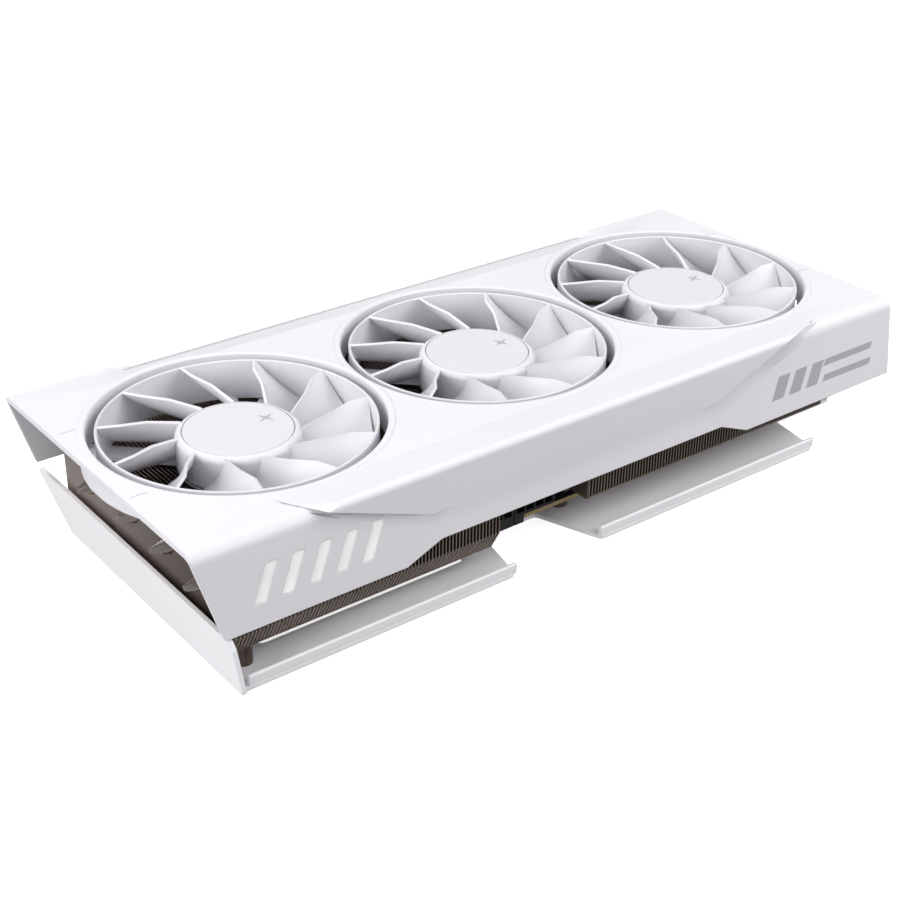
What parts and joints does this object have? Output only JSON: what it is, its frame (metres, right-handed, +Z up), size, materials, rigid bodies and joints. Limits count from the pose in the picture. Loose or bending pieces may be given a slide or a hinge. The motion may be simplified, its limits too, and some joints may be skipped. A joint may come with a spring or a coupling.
{
  "type": "graphics card",
  "caption": "Long triple-fan graphics card with a white moulded shroud, finned heatsink with heat pipes, bent backplate and slotted input/output bracket.",
  "frame": {"origin": "on the axis of the middle fan, at the underside of the backplate", "axes": "+X along the card from the open tail to the input/output bracket, +Y across it towards the edge contacts, +Z up out of the fans"},
  "size_m": [0.3124, 0.1451, 0.0526],
  "materials": {
    "white_shell": "fine moulded satin",
    "white_fan": "fine moulded satin",
    "badge_white": "smooth satin",
    "white_sheet": "satin powder coat",
    "light_guide": "frosted translucent",
    "fin_nickel": "dark nickel plated",
    "plate_nickel": "warm nickel plated",
    "pipe_nickel": "nickel plated copper",
    "dark_metal": "black anodised",
    "screw_steel": "zinc plated",
    "motor_steel": "pressed steel",
    "winding_copper": "enamelled wire",
    "sleeve_brass": "sintered bearing metal",
    "black_board": "solder-masked laminate",
    "gold_plate": "gold plated",
    "socket_black": "moulded nylon",
    "chip_black": "moulded epoxy",
    "die_grey": "polished silicon",
    "pad_grey": "soft gap filler",
    "can_silver": "plain metal can",
    "bracket_steel": "nickel plated steel"
  },
  "bodies": {
    "card": {"backplate": "white_sheet", "backplate_screws": "screw_steel", "bearing_sleeve_head": "sleeve_brass", "bearing_sleeve_middle": "sleeve_brass", "bearing_sleeve_tail": "sleeve_brass", "board_standoffs": "dark_metal", "bracket_feet": "dark_metal", "bracket_screws": "screw_steel", "capacitors": "can_silver", "circuit_board": "black_board", "cold_plate": "pipe_nickel", "display_socket_shells": "can_silver", "display_socket_tongues": "socket_black", "edge_contacts": "gold_plate", "fan_base_head": "white_shell", "fan_base_middle": "white_shell", "fan_base_tail": "white_shell", "fan_leads": "socket_black", "fan_screws": "screw_steel", "fan_socket": "socket_black", "gap_end_plate": "plate_nickel", "head_fins": "fin_nickel", "heat_pipes": "pipe_nickel", "inductors": "chip_black", "io_bracket": "bracket_steel", "mark_light": "light_guide", "memory_chips": "chip_black", "memory_plate": "dark_metal", "middle_fins": "fin_nickel", "power_pins": "gold_plate", "power_sockets": "socket_black", "power_stages": "chip_black", "processor_die": "die_grey", "processor_package": "chip_black", "retention_plate": "screw_steel", "retention_screws": "screw_steel", "shroud": "white_shell", "shroud_lugs": "dark_metal", "shroud_screws": "screw_steel", "stator_head": "winding_copper", "stator_middle": "winding_copper", "stator_tail": "winding_copper", "tail_end_plate": "plate_nickel", "tail_fins": "fin_nickel", "tail_posts": "dark_metal", "thermal_pads": "pad_grey"},
    "fan_tail": {"fan_rotor_tail": "white_fan", "hub_badge_tail": "badge_white", "fan_shaft_tail": "screw_steel", "magnet_cup_tail": "motor_steel"},
    "fan_middle": {"fan_rotor_middle": "white_fan", "hub_badge_middle": "badge_white", "fan_shaft_middle": "screw_steel", "magnet_cup_middle": "motor_steel"},
    "fan_head": {"fan_rotor_head": "white_fan", "hub_badge_head": "badge_white", "fan_shaft_head": "screw_steel", "magnet_cup_head": "motor_steel"}
  },
  "joints": [
    {"name": "fan_tail_spin", "type": "hinge", "parent": "card", "child": "fan_tail", "pos_m": [-0.0977, 0, 0.042], "axis": [0, 0, 1], "continuous": true},
    {"name": "fan_middle_spin", "type": "hinge", "parent": "card", "child": "fan_middle", "pos_m": [0, 0, 0.042], "axis": [0, 0, 1], "continuous": true},
    {"name": "fan_head_spin", "type": "hinge", "parent": "card", "child": "fan_head", "pos_m": [0.0977, 0, 0.042], "axis": [0, 0, 1], "continuous": true}
  ]
}
